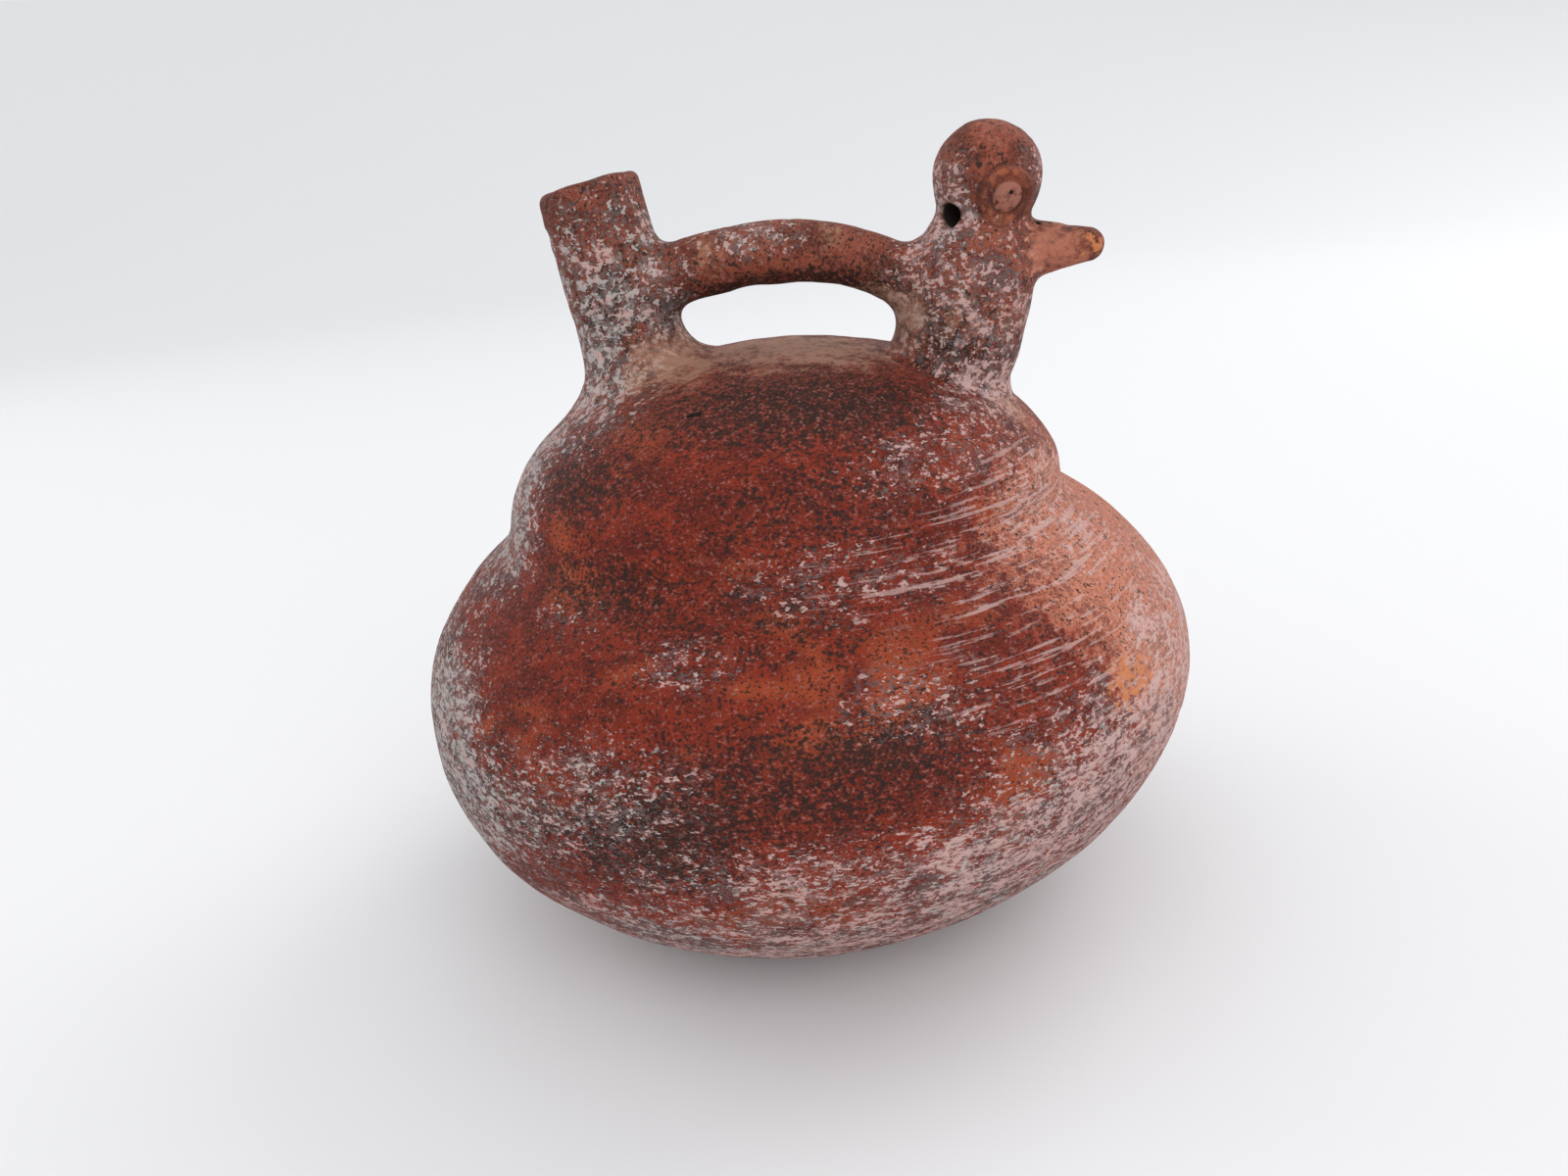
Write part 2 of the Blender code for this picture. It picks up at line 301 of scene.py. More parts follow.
def spout_form(p):
    stations = []
    for k in range(-3, 15):
        share = k / 12
        x, z = spout_path(share)
        radius = spout_radius(share) * (1.0 + SPOUT_SWELL * bow(share))
        stations.append((x - SPOUT_BOW * bow(share), z, radius))
    rim = middle_place(*spout_path(1.0))
    below = middle_place(*spout_path(0.9))
    up = (rim - below) / np.linalg.norm(rim - below)
    side = p - rim
    turn = np.arctan2(side[:, 1], side[:, 0])
    dips = SPOUT_RIM_WEAR
    for high, count, start in SPOUT_RIM_WAVES:
        dips = dips + high * np.sin(count * turn + start)
    return soft_cut(tube(p, stations), -(side @ up + dips), SPOUT_RIM_SOFTNESS)


def bridge_form(p):
    start = AXIS_X - SPOUT_SPREAD
    end = AXIS_X + NECK_SPREAD
    crown = TOP_Z + FINGER_GAP + BRIDGE_RADIUS
    stations = []
    for k in range(21):
        share = k / 20
        drop = BRIDGE_SPOUT_DROP if share < 0.5 else BRIDGE_NECK_DROP
        z = crown - drop * (2.0 * abs(share - 0.5)) ** 2
        stations.append((start + (end - start) * share, z, BRIDGE_RADIUS))
    return tube(p, stations)


def beak_form(p):
    """A level blunt cone that narrows to a round tip, where it is a little wider than tall."""
    q = p - (HEAD - place(0.0, 0.0, BEAK_DROP))
    share = q[:, 0] / BEAK_LENGTH
    narrow = np.clip((share - BEAK_TAPERS_FROM) / BEAK_TAPERS_OVER, 0.0, 1.0)
    size = 1.0 - BEAK_TAPER * narrow ** BEAK_TAPER_POWER
    middle = 0.5 * BEAK_STRAIGHT_SHARE
    past = np.maximum(np.abs(share - middle) - middle, 0.0) * BEAK_LENGTH
    across = q[:, 1] * size ** BEAK_TIP_FLATTENING * BEAK_HALF_HEIGHT / BEAK_HALF_WIDTH
    width = np.sqrt(across ** 2 + q[:, 2] ** 2 + past ** 2)
    return width - BEAK_HALF_HEIGHT * size


def eye_form(p, side):
    """The ring and pellet of an eye, and the groove to cut between them."""
    direction = eye_direction(side)
    reach = math.sqrt(HEAD_RADIUS ** 2 - EYE_RING_RADIUS ** 2)
    q = p - (HEAD + direction * reach)
    height = q @ direction
    spread = np.linalg.norm(q - height[:, None] * direction, axis=1)
    ring = np.hypot(spread - EYE_RING_RADIUS, height) - EYE_BEAD_RADIUS
    sink = math.sqrt(HEAD_RADIUS ** 2 - EYE_PELLET_RADIUS ** 2)
    rise = HEAD_RADIUS + EYE_PELLET_RISE - sink
    local = np.stack([spread, p @ direction - HEAD @ direction - sink], 1)
    pellet = ellipsoid(local, (0.0, 0.0), (EYE_PELLET_RADIUS, rise))
    groove = np.hypot(spread - EYE_GROOVE_RADIUS, height - EYE_GROOVE_HEIGHT) - EYE_GROOVE_BEAD
    return np.minimum(ring, pellet), groove


def outer_form(p):
    form = soft_cut(body_form(p, 0.0), p[:, 2], BASE_SOFTNESS)
    tall = p[:, 2] > UPPER_FORMS_Z
    q = p[tall]
    top = form[tall]
    neck = tube(q, stations_along(neck_path, neck_radius, [k / 14 for k in range(-3, 13)]))
    top = soft_join(top, spout_form(q), SPOUT_FOOT_SOFTNESS)
    top = soft_join(top, neck, NECK_FOOT_SOFTNESS)
    top = soft_join(top, bridge_form(q), BRIDGE_SOFTNESS)
    top = soft_join(top, ellipsoid(q, HEAD, (HEAD_RADIUS,) * 3), NAPE_SOFTNESS)
    top = soft_join(top, beak_form(q), BEAK_SOFTNESS)
    for side in (-1, 1):
        raised, groove = eye_form(q, side)
        top = soft_cut(soft_join(top, raised, EYE_SOFTNESS), groove, EYE_SOFTNESS)
    form[tall] = top
    return form


def inner_form(p):
    """The chamber, the ways up the spout and the neck, and the whistle in the head."""
    hole_end = SOUND_HOLE_START + SOUND_HOLE_AXIS * 1.5 * HEAD_RADIUS
    windway_foot = middle_place(*neck_path(WINDWAY_FOOT_SHARE))
    hollows = (
        np.maximum(body_form(p, BODY_WALL), FLOOR_THICKNESS - p[:, 2]),
        tube(p, stations_along(spout_path, spout_radius, SPOUT_WAY, SPOUT_WALL)),
        tube(p, stations_along(neck_path, neck_radius, NECK_WAY, NECK_WALL)),
        ellipsoid(p, HEAD, (HEAD_RADIUS - HEAD_WALL,) * 3),
        rod(p, SOUND_HOLE_START, hole_end, SOUND_HOLE_RADIUS, SOUND_HOLE_RADIUS),
        rod(p, windway_foot, HEAD, WINDWAY_RADIUS, WINDWAY_RADIUS),
    )
    return np.minimum.reduce(hollows)


def clay_form(p):
    return soft_cut(outer_form(p), inner_form(p), HOLE_RIM_SOFTNESS)


def gradient(field, p, step=0.12):
    return np.stack([field(p + d) - field(p - d) for d in np.eye(3) * step], 1) / (2.0 * step)


def slope(field, p):
    """Unit normals of a field at the points."""
    g = gradient(field, p)
    return g / np.maximum(np.linalg.norm(g, axis=1), 1e-6)[:, None]


def settle(field, p, rounds):
    """Moves the points onto the field's zero surface, at most a little each round."""
    for _ in range(rounds):
        g = gradient(field, p)
        steep = np.maximum(np.linalg.norm(g, axis=1), LEAST_STEEPNESS)
        stride = np.clip(field(p) / steep, -LONGEST_STRIDE, LONGEST_STRIDE)
        p = p - g / steep[:, None] * stride[:, None]
    return p


def lattice(cells, seed):
    """A repeatable number from 0 to 1 for each whole-number cell."""
    h = (cells * np.array([73856093, 19349663, 83492791])).sum(-1) + seed * 374761393
    h = (h ^ (h >> 13)) * 1274126177
    return ((h ^ (h >> 16)) & 0xFFFFFF) / float(0xFFFFFF)


def value_noise(p, size, seed):
    """Smooth noise from 0 to 1 with blobs of about the given size."""
    q = p / size
    base = np.floor(q).astype(np.int64)
    f = q - base
    f = f * f * f * (f * (f * 6.0 - 15.0) + 10.0)
    out = np.zeros(len(p))
    for corner in np.ndindex(2, 2, 2):
        weight = np.abs(1 - np.array(corner) - f).prod(1)
        out += weight * lattice(base + np.array(corner), seed)
    return out


def ramp(x, low, high):
    t = np.clip((x - low) / (high - low), 0.0, 1.0)
    return t * t * (3.0 - 2.0 * t)


def relief(p):
    """How far the skin stands in from the smooth form, or out where it is negative."""
    tall = ramp(p[:, 2], 128.0, 142.0)
    flat = ramp(p[:, 2], 0.6, 7.0)
    head = 1.0 - ramp(away(p, HEAD), 15.0, 24.0)
    # Wide dents
    depth = 0.75 * value_noise(p, 31.0, 1) + 0.42 * value_noise(p, 13.0, 2)
    depth = depth * (1.0 - 0.55 * head)
    # Uneven modelling, most of it above the dome
    depth += (0.10 + 0.34 * tall * (1.0 - 0.6 * head)) * value_noise(p, 6.5, 3)
    # Level marks of smoothing, then fine roughness and pits
    level = p * place(0.35, 0.35, 1.0)
    depth += 0.10 * value_noise(level, 2.6, 4) * (1.0 - head)
    depth += (0.05 + 0.09 * tall) * value_noise(p, 2.4, 5)
    pits = ramp(value_noise(p, 3.4, 6) + 0.35 * value_noise(p, 18.0, 7), 1.02, 1.16)
    depth += 0.38 * pits * (1.0 - 0.7 * head)
    return (depth - MEAN_WEAR * (1.0 - 0.5 * head)) * flat


def on_skin(p):
    """The nearest point of the worn skin."""
    q = settle(outer_form, p[None], 6)
    return (q - slope(outer_form, q) * relief(q)[:, None])[0]


# Small holes pricked or worn into the clay: place, radius and depth
PRICK_PLACES = [
    (HEAD + place(4.8, -11.4, -3.2), 0.42, 0.6),
    (HEAD + place(4.8, 11.4, -3.2), 0.42, 0.6),
    (HEAD + place(10.5, -2.4, -10.4), 0.55, 0.8),
    (HEAD + place(10.5, 2.4, -10.4), 0.55, 0.8),
    (place(-9.0, -37.5, 130.1), 0.85, 1.3),
    (place(-7.4, -37.5, 130.1), 0.85, 1.3),
    (place(-5.3, -42.2, 128.6), 0.40, 0.5),
]
PRICKS = [(on_skin(centre), radius, depth) for centre, radius, depth in PRICK_PLACES]


def eye_middle(side):
    return HEAD + eye_direction(side) * HEAD_RADIUS


def clay_skin():
    """The one piece of clay as a fine mesh, settled on the soft form and then worn."""
    obj = bpy.data.objects.new("vessel_clay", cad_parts["vessel"].data.copy())
    bpy.context.scene.collection.objects.link(obj)
    remesh = obj.modifiers.new("even_grid", "REMESH")
    remesh.mode = "VOXEL"
    remesh.voxel_size = VOXEL / MM_PER_M
    remesh.adaptivity = 0.0
    apply_modifiers(obj)
    mesh = obj.data
    finer_at(mesh, [(eye_middle(side), EYE_REACH) for side in (-1, 1)], 1)
    p = settle(clay_form, read_points(mesh), 3)
    outside = ramp(inner_form(p), 0.6, 2.2)
    p -= slope(outer_form, p) * (relief(p) * outside)[:, None]
    write_points(mesh, p)
    shrink = obj.modifiers.new("fewer_faces", "DECIMATE")
    mesh.calc_loop_triangles()
    shrink.ratio = min(1.0, SKIN_TRIANGLES / len(mesh.loop_triangles))
    apply_modifiers(obj)
    prick_holes(obj.data)
    keep_in_box(obj.data)
    obj.data.shade_smooth()
    return obj


def apply_modifiers(obj):
    evaluated = obj.evaluated_get(bpy.context.evaluated_depsgraph_get())
    obj.data = bpy.data.meshes.new_from_object(evaluated)
    obj.modifiers.clear()


def read_points(mesh):
    co = np.zeros(len(mesh.vertices) * 3, np.float32)
    mesh.vertices.foreach_get("co", co)
    return co.reshape(-1, 3).astype(float) * MM_PER_M


def write_points(mesh, p):
    mesh.vertices.foreach_set("co", (p / MM_PER_M).astype(np.float32).ravel())
    mesh.update()


def finer_at(mesh, spots, times):
    """Splits the faces within a radius of each place, so that small forms come out crisp."""
    bm = bmesh.new()
    bm.from_mesh(mesh)
    for centre, radius in spots:
        middle = Vector(centre / MM_PER_M)
        for _ in range(times):
            near = [e for e in bm.edges if (e.verts[0].co - middle).length < radius / MM_PER_M]
            bmesh.ops.subdivide_edges(bm, edges=near, cuts=1, use_grid_fill=True)
    bmesh.ops.triangulate(bm, faces=[f for f in bm.faces if len(f.verts) > 3])
    bm.to_mesh(mesh)
    bm.free()


def prick_holes(mesh):
    """Adds fine faces round each prick and pushes it in."""
    finer_at(mesh, [(centre, 3.0 * radius) for centre, radius, depth in PRICKS], 2)
    p = read_points(mesh)
    for centre, radius, depth in PRICKS:
        near = away(p, centre) < 4.0 * radius
        q = p[near]
        deepest = q[np.argmin(away(q, centre))]
        fall = 1.0 - ramp(away(q, deepest), 0.0, radius * 1.5)
        p[near] = q - slope(outer_form, q) * (depth * fall)[:, None]
    write_points(mesh, p)


def keep_in_box(mesh):
    low, high = np.array(CAD_BOX) * MM_PER_M
    write_points(mesh, np.clip(read_points(mesh), low, high))


class Graph:
    """Short names for building a material's nodes."""

    def __init__(self, material):
        material.use_nodes = True
        self.tree = material.node_tree
        self.shader = self.tree.nodes["Principled BSDF"]
        coordinates = self.new("ShaderNodeTexCoord", {})
        self.place = self.vector("MULTIPLY", coordinates.outputs["Object"], (MM_PER_M,) * 3)
        self.height = self.vector("DOT_PRODUCT", self.place, (0.0, 0.0, 1.0))
        over = self.math("MAXIMUM", self.math("SUBTRACT", self.height, LEVEL_GRAIN_TOP), 0.0)
        lower = self.new("ShaderNodeCombineXYZ", {"Z": self.scaled(over, -UPPER_GRAIN_SQUASH)})
        self.grained = self.vector("ADD", self.place, lower.outputs["Vector"])

    def new(self, kind, values):
        return self.fill(self.tree.nodes.new(kind), values)

    def fill(self, node, values):
        for socket, value in values.items():
            self.put(node.inputs[socket], value)
        return node

    def put(self, socket, value):
        if isinstance(value, bpy.types.NodeSocket):
            self.tree.links.new(value, socket)
        else:
            socket.default_value = value

    def vector(self, operation, *values):
        node = self.tree.nodes.new("ShaderNodeVectorMath")
        node.operation = operation
        self.fill(node, dict(enumerate(values)))
        one_number = operation in ("LENGTH", "DISTANCE", "DOT_PRODUCT")
        return node.outputs["Value" if one_number else "Vector"]

    def math(self, operation, a, b):
        node = self.tree.nodes.new("ShaderNodeMath")
        node.operation = operation
        return self.fill(node, {0: a, 1: b}).outputs[0]

    def noise(self, size, detail, roughness, stretch, shift, warp=0.0):
        """Noise with blobs of about the given size, which are longer where stretch is under 1."""
        moved = self.vector("MULTIPLY", self.grained, stretch)
        moved = self.vector("ADD", moved, (shift, shift * 1.7, shift * 0.6))
        values = {
            "Vector": moved,
            "Scale": 1.0 / size,
            "Detail": detail,
            "Roughness": roughness,
            "Distortion": warp,
        }
        return self.new("ShaderNodeTexNoise", values).outputs["Fac"]

    def step(self, value, low, high, top=1.0):
        """Smooth step from 0 at low to the top value at high."""
        node = self.tree.nodes.new("ShaderNodeMapRange")
        node.interpolation_type = "SMOOTHSTEP"
        values = {"Value": value, "From Min": low, "From Max": high, "To Max": top}
        return self.fill(node, values).outputs["Result"]

    def spot(self, centre, reach, strength):
        """A soft blob round a place, strongest in its middle."""
        across = [1.0 / r for r in reach]
        shift = [-c / r for c, r in zip(centre, reach)]
        outward = self.vector("LENGTH", self.vector("MULTIPLY_ADD", self.place, across, shift))
        return self.step(outward, 1.0, 0.2, strength)

    def add(self, *values):
        total = values[0]
        for value in values[1:]:
            total = self.math("ADD", total, value)
        return total

    def scaled(self, value, share):
        return self.math("MULTIPLY", value, share)

    def patch(self, amount, texture, soft):
        """Covers about the given share of a texture that runs evenly from 0 to 1."""
        return self.step(self.add(amount, texture), 1.0, 1.0 + 2.0 * soft)

    def distance(self, centre):
        return self.vector("DISTANCE", self.place, centre)

    def band(self, value, low, high, soft):
        """1 between low and high, falling to 0 over a soft edge."""
        rising = self.step(value, low - soft, low)
        return self.math("MULTIPLY", rising, self.step(value, high + soft, high))

    def brushed(self, size, climb):
        """Long thin noise whose lines climb along +X by the given angle in degrees."""
        turned = {
            "Vector": self.place,
            "Rotation": (0.0, math.radians(climb), 0.0),
            "Scale": (0.045, 0.045, 1.0),
        }
        lines = {
            "Vector": self.new("ShaderNodeMapping", turned).outputs["Vector"],
            "Scale": 1.0 / size,
            "Detail": 3.0,
            "Roughness": 0.6,
        }
        return self.new("ShaderNodeTexNoise", lines).outputs["Fac"]

    def mix(self, share, a, b):
        """Colour a, with the given share of colour b over it."""
        node = self.tree.nodes.new("ShaderNodeMix")
        node.data_type = "RGBA"
        return self.fill(node, {"Factor": share, "A": a, "B": b}).outputs["Result"]


# Colours of the slip, the clay and what lies on it
RED = (0.225, 0.0240, 0.0080, 1.0)
DEEP_RED = (0.110, 0.0130, 0.0060, 1.0)
ORANGE_RED = (0.330, 0.0580, 0.0180, 1.0)
UMBER = (0.085, 0.0300, 0.0200, 1.0)
ROSE = (0.300, 0.0950, 0.0570, 1.0)
SALMON = (0.620, 0.235, 0.145, 1.0)
RUBBED_CLAY = (0.420, 0.158, 0.1000, 1.0)
BROWN = (0.044, 0.0140, 0.0090, 1.0)
# The black below serves the mineral spots and also paints the shade inside the pricks and the sound
# hole
SOOT_AND_HOLE_SHADE = (0.0165, 0.0100, 0.0090, 1.0)
PINK_LIME = (0.500, 0.330, 0.305, 1.0)
GREY_LIME = (0.410, 0.385, 0.370, 1.0)
ASH = (0.110, 0.105, 0.105, 1.0)
DUST = (0.370, 0.215, 0.150, 1.0)
BUFF = (0.400, 0.225, 0.140, 1.0)
BARE_CLAY = (0.500, 0.175, 0.066, 1.0)
EYE_CLAY = (0.300, 0.085, 0.040, 1.0)
PELLET_CLAY = (0.310, 0.130, 0.092, 1.0)

# Where a layer lies on the clay: middle, reach along X, Y and Z, and how much of the layer there is
ORANGE_PLACES = (
    # This place paints the highlight on the left shoulder ridge as a warm orange patch
    ((-28.0, -60.0, 106.0), (38.0, 30.0, 13.0), 0.32),
    ((14.0, -82.0, 84.0), (44.0, 24.0, 18.0), 0.40),
    ((84.0, -34.0, 84.0), (30.0, 44.0, 24.0), 0.35),
    ((59.0, -75.0, 66.0), (12.0, 14.0, 9.0), 0.95),
    ((75.0, -4.0, 156.0), (9.0, 9.0, 8.0), 0.9),
    ((-40.0, -74.0, 66.0), (26.0, 24.0, 24.0), 0.35),
)
SALMON_PLACES = (
    ((76.0, -22.0, 98.0), (60.0, 70.0, 40.0), 1.40),
    ((96.0, -24.0, 66.0), (46.0, 74.0, 48.0), 1.15),
    ((84.0, 40.0, 84.0), (60.0, 60.0, 50.0), 0.80),
)
STAIN_AND_CREASE_SHADE_PLACES = (
    ((15.0, -36.0, 130.0), (50.0, 26.0, 10.0), 0.62),
    ((-33.0, -42.0, 119.0), (22.0, 28.0, 12.0), 0.50),
    ((20.0, -54.0, 115.0), (34.0, 28.0, 14.0), 0.26),
    # This place paints the shade in the waist crease under the left shoulder as dark colour
    ((-30.0, -61.0, 101.0), (30.0, 24.0, 9.0), 0.42),
    ((4.0, -70.0, 97.0), (40.0, 22.0, 11.0), 0.22),
    ((-17.0, -89.0, 59.0), (30.0, 26.0, 16.0), 0.66),
    ((12.0, -88.0, 71.0), (50.0, 26.0, 15.0), 0.40),
    ((36.0, -82.0, 78.0), (24.0, 22.0, 10.0), 0.30),
    ((-68.0, -52.0, 56.0), (26.0, 30.0, 20.0), 0.40),
    ((-48.0, -70.0, 60.0), (26.0, 26.0, 14.0), 0.34),
    ((-76.0, -40.0, 84.0), (14.0, 22.0, 10.0), 0.50),
    ((-31.0, 0.0, 150.0), (24.0, 24.0, 42.0), 0.26),
    ((49.0, 0.0, 136.0), (26.0, 26.0, 26.0), 0.16),
    ((10.0, -4.0, 148.0), (44.0, 14.0, 9.0), 1.00),
    ((46.0, -10.0, 136.0), (14.0, 14.0, 16.0), 0.50),
    ((-31.0, -12.0, 150.0), (12.0, 12.0, 12.0), 0.40),
    ((0.0, 70.0, 90.0), (80.0, 50.0, 46.0), 0.26),
)
LIME_PLACES = (
    ((70.0, -60.0, 50.0), (58.0, 52.0, 40.0), 0.86),
    ((96.0, -16.0, 64.0), (30.0, 70.0, 46.0), 0.80),
    ((66.0, -22.0, 104.0), (38.0, 44.0, 26.0), 0.40),
    ((-88.0, -16.0, 64.0), (44.0, 84.0, 54.0), 0.80),
    ((-70.0, 50.0, 84.0), (50.0, 50.0, 44.0), 0.50),
    ((60.0, 66.0, 52.0), (60.0, 50.0, 40.0), 0.60),
    ((-68.0, -57.0, 62.0), (30.0, 30.0, 38.0), 0.95),
    ((-50.0, -72.0, 56.0), (28.0, 26.0, 16.0), 0.45),
    ((20.0, -84.0, 54.0), (60.0, 26.0, 12.0), 0.36),
    ((-30.0, -86.0, 68.0), (44.0, 30.0, 17.0), 0.44),
    ((4.0, -60.0, 26.0), (104.0, 80.0, 42.0), 0.72),
    ((-31.0, 0.0, 150.0), (26.0, 26.0, 40.0), 0.86),
    ((49.0, 0.0, 142.0), (28.0, 28.0, 34.0), 0.82),
    ((76.0, -46.0, 30.0), (40.0, 50.0, 26.0), 0.50),
    ((50.0, -14.0, 125.0), (28.0, 28.0, 9.0), 0.46),
    ((-40.0, -22.0, 131.0), (30.0, 32.0, 18.0), 0.62),
    ((-58.0, -22.0, 110.0), (24.0, 54.0, 28.0), 1.00),
    ((-7.0, -79.0, 90.5), (19.0, 16.0, 7.0), 0.36),
    ((37.0, -79.0, 83.0), (26.0, 24.0, 11.0), 0.36),
    ((84.0, -42.0, 83.0), (10.0, 14.0, 9.0), 0.55),
    ((26.0, -64.0, 102.0), (42.0, 26.0, 12.0), 0.30),
    ((-36.0, -64.0, 96.0), (18.0, 18.0, 7.0), 0.28),
    ((38.0, -42.0, 119.0), (28.0, 28.0, 12.0), 0.36),
    ((43.0, -4.0, 168.0), (15.0, 18.0, 16.0), 0.66),
    ((65.0, -2.0, 172.0), (9.0, 12.0, 11.0), 0.50),
    ((2.0, -6.0, 163.0), (18.0, 14.0, 8.0), 0.55),
    ((-10.0, 74.0, 60.0), (86.0, 50.0, 46.0), 0.50),
    ((30.0, 56.0, 104.0), (50.0, 50.0, 20.0), 0.40),
)
BRUSH_PLACES = (
    ((66.0, -30.0, 102.0), (44.0, 46.0, 30.0), 1.0),
    ((86.0, -46.0, 62.0), (32.0, 46.0, 36.0), 0.9),
    ((36.0, -60.0, 102.0), (38.0, 30.0, 16.0), 0.62),
    ((58.0, -70.0, 84.0), (34.0, 32.0, 22.0), 0.62),
    ((-60.0, 50.0, 80.0), (50.0, 50.0, 36.0), 0.7),
)
DUST_PLACES = (
    ((12.0, -6.0, 142.0), (58.0, 44.0, 15.0), 1.35),
    ((-22.0, -16.0, 134.0), (18.0, 22.0, 11.0), 0.8),
    ((56.0, -10.0, 121.0), (18.0, 22.0, 6.0), 0.9),
)
BUFF_PLACES = (
    ((-8.0, -5.0, 159.0), (9.0, 12.0, 9.0), 0.8),
    ((19.0, -5.0, 162.0), (6.0, 11.0, 7.0), 0.95),
)
RUBBED_PLACES = (
    ((68.0, -3.0, 155.0), (17.0, 11.0, 10.0), 1.40),
    ((52.0, -6.0, 180.0), (14.0, 15.0, 9.0), 0.45),
    ((-22.0, -12.0, 174.0), (9.0, 10.0, 9.0), 0.50),
    ((55.0, -12.0, 146.0), (12.0, 12.0, 20.0), 0.60),
)
WORN_PLACES = (
    ((79.0, -52.0, 74.0), (13.0, 17.0, 9.0), 0.85),
    ((76.0, -4.0, 156.0), (6.0, 8.0, 7.0), 0.6),
)


def places(g, spots, base=0.0):
    """How much of a layer there is everywhere, from a list of its places."""
    return g.add(base, *[g.spot(middle, reach, amount) for middle, reach, amount in spots])


def slip(g, cloud, blotch, fleck, lace):
    """Red slip with warmer and darker clouds and a painted highlight on the left shoulder, duller
    above the dome and paler on the breast.
    """
    warm = g.patch(places(g, ORANGE_PLACES, 0.24), cloud, 0.22)
    colour = g.mix(g.step(blotch, 0.42, 0.60), DEEP_RED, RED)
    colour = g.mix(g.scaled(warm, 0.85), colour, ORANGE_RED)
    mottled = g.add(g.scaled(blotch, 0.6), g.scaled(fleck, 0.4))
    dull = g.mix(g.step(mottled, 0.40, 0.60), UMBER, ROSE)
    colour = g.mix(g.scaled(g.step(g.height, 122.0, 142.0), 0.74), colour, dull)
    broken = g.add(g.scaled(blotch, 0.35), g.scaled(fleck, 0.30), g.scaled(lace, 0.35))
    pale = g.patch(places(g, SALMON_PLACES), g.step(broken, 0.36, 0.64), 0.45)
    return g.mix(g.scaled(pale, 0.85), colour, SALMON)


def stain_and_crease_shade(g, colour, blotch, fleck, speck):
    """Dark firing clouds, painted shade in the waist crease under the left shoulder, and black
    mineral spots that are densest in them.
    """
    amount = places(g, STAIN_AND_CREASE_SHADE_PLACES, 0.30)
    mottle = g.step(g.add(g.scaled(fleck, 0.6), g.scaled(speck, 0.4)), 0.56, 0.40)
    colour = g.mix(g.scaled(mottle, 0.50), colour, DEEP_RED)
    rough = g.add(g.scaled(blotch, 0.40), g.scaled(fleck, 0.60))
    colour = g.mix(g.scaled(g.patch(amount, g.step(rough, 0.36, 0.64), 0.22), 0.72), colour, BROWN)
    spotty = g.add(g.scaled(fleck, 0.38), g.scaled(speck, 0.62))
    black = g.patch(g.scaled(amount, 0.66), g.step(spotty, 0.38, 0.62), 0.06)
    return g.mix(g.scaled(black, 0.85), colour, SOOT_AND_HOLE_SHADE)


def lime(g, colour, blotch, fleck, speck, crust, grain, lace):
    """A soft lacy film of lime over ashy patches, with thicker crusts where there is most of it."""
    amount = g.math("MINIMUM", places(g, LIME_PLACES, 0.02), 0.80)
    broken = g.add(g.scaled(blotch, 0.34), g.scaled(grain, 0.66))
    ashy = g.patch(g.scaled(amount, 0.58), g.step(broken, 0.61, 0.39), 0.10)
    colour = g.mix(g.scaled(ashy, 0.46), colour, ASH)
    shade = g.add(crust, g.vector("DOT_PRODUCT", g.place, (0.0014, 0.0, 0.0)))
    shade = g.mix(g.step(shade, 0.44, 0.60), GREY_LIME, PINK_LIME)
    soft = g.add(g.scaled(lace, 0.56), g.scaled(crust, 0.20), g.scaled(speck, 0.24))
    film = g.patch(amount, g.step(soft, 0.39, 0.61), 0.42)
    colour = g.mix(g.scaled(film, 0.66), colour, shade)
    rough = g.add(g.scaled(crust, 0.20), g.scaled(grain, 0.46), g.scaled(lace, 0.34))
    crusted = g.patch(g.scaled(amount, 0.62), g.step(rough, 0.39, 0.61), 0.08)
    colour = g.mix(g.scaled(crusted, 0.76), colour, shade)
    # Fine pale grains everywhere
    grains = g.step(g.add(g.scaled(speck, 0.65), g.scaled(fleck, 0.35)), 0.43, 0.34)
    return g.mix(g.scaled(grains, 0.20), colour, shade)


def eye_colour(g, colour, side, blotch, fleck):
    """Rubbed clay on the ring and pellet of an eye, with painted shade in the groove and round the
    ring.
    """
    spread = g.distance(tuple(eye_middle(side)))
    outer = EYE_RING_RADIUS + EYE_BEAD_RADIUS
    rubbed = g.math("MULTIPLY", g.step(spread, outer + 0.3, outer - 0.2), g.step(fleck, 0.34, 0.52))
    mottled = g.add(g.scaled(blotch, 0.5), g.scaled(fleck, 0.5))
    clay = g.mix(g.step(mottled, 0.43, 0.57), UMBER, EYE_CLAY)
    clay = g.mix(g.step(spread, EYE_GROOVE_RADIUS, EYE_GROOVE_RADIUS - 0.5), clay, PELLET_CLAY)
    colour = g.mix(g.scaled(rubbed, 0.80), colour, clay)
    round_ring = g.band(spread, outer + 0.1, outer + 0.4, 0.5)
    shadow = g.add(g.band(spread, 3.5, 3.8, 0.5), g.scaled(round_ring, 0.7))
    return g.mix(g.scaled(shadow, 0.50), colour, BROWN)


def painted_hole_shade(g, colour):
    """Painted shade: dark colour inside the pricks and the sound hole, where shade falls."""
    for centre, radius, depth in PRICKS:
        inside = centre - slope(outer_form, centre[None])[0] * 0.4 * depth
        share = g.step(g.distance(tuple(inside)), 1.4 * radius, 0.95 * radius)
        colour = g.mix(share, colour, SOOT_AND_HOLE_SHADE)
    # Painted shade deep inside the sound hole
    inside = SOUND_HOLE_START + SOUND_HOLE_AXIS * HOLE_SHADE_ALONG
    share = g.step(g.distance(tuple(inside)), HOLE_SHADE_RADIUS + HOLE_SHADE_EDGE, HOLE_SHADE_RADIUS)
    return g.mix(share, colour, SOOT_AND_HOLE_SHADE)


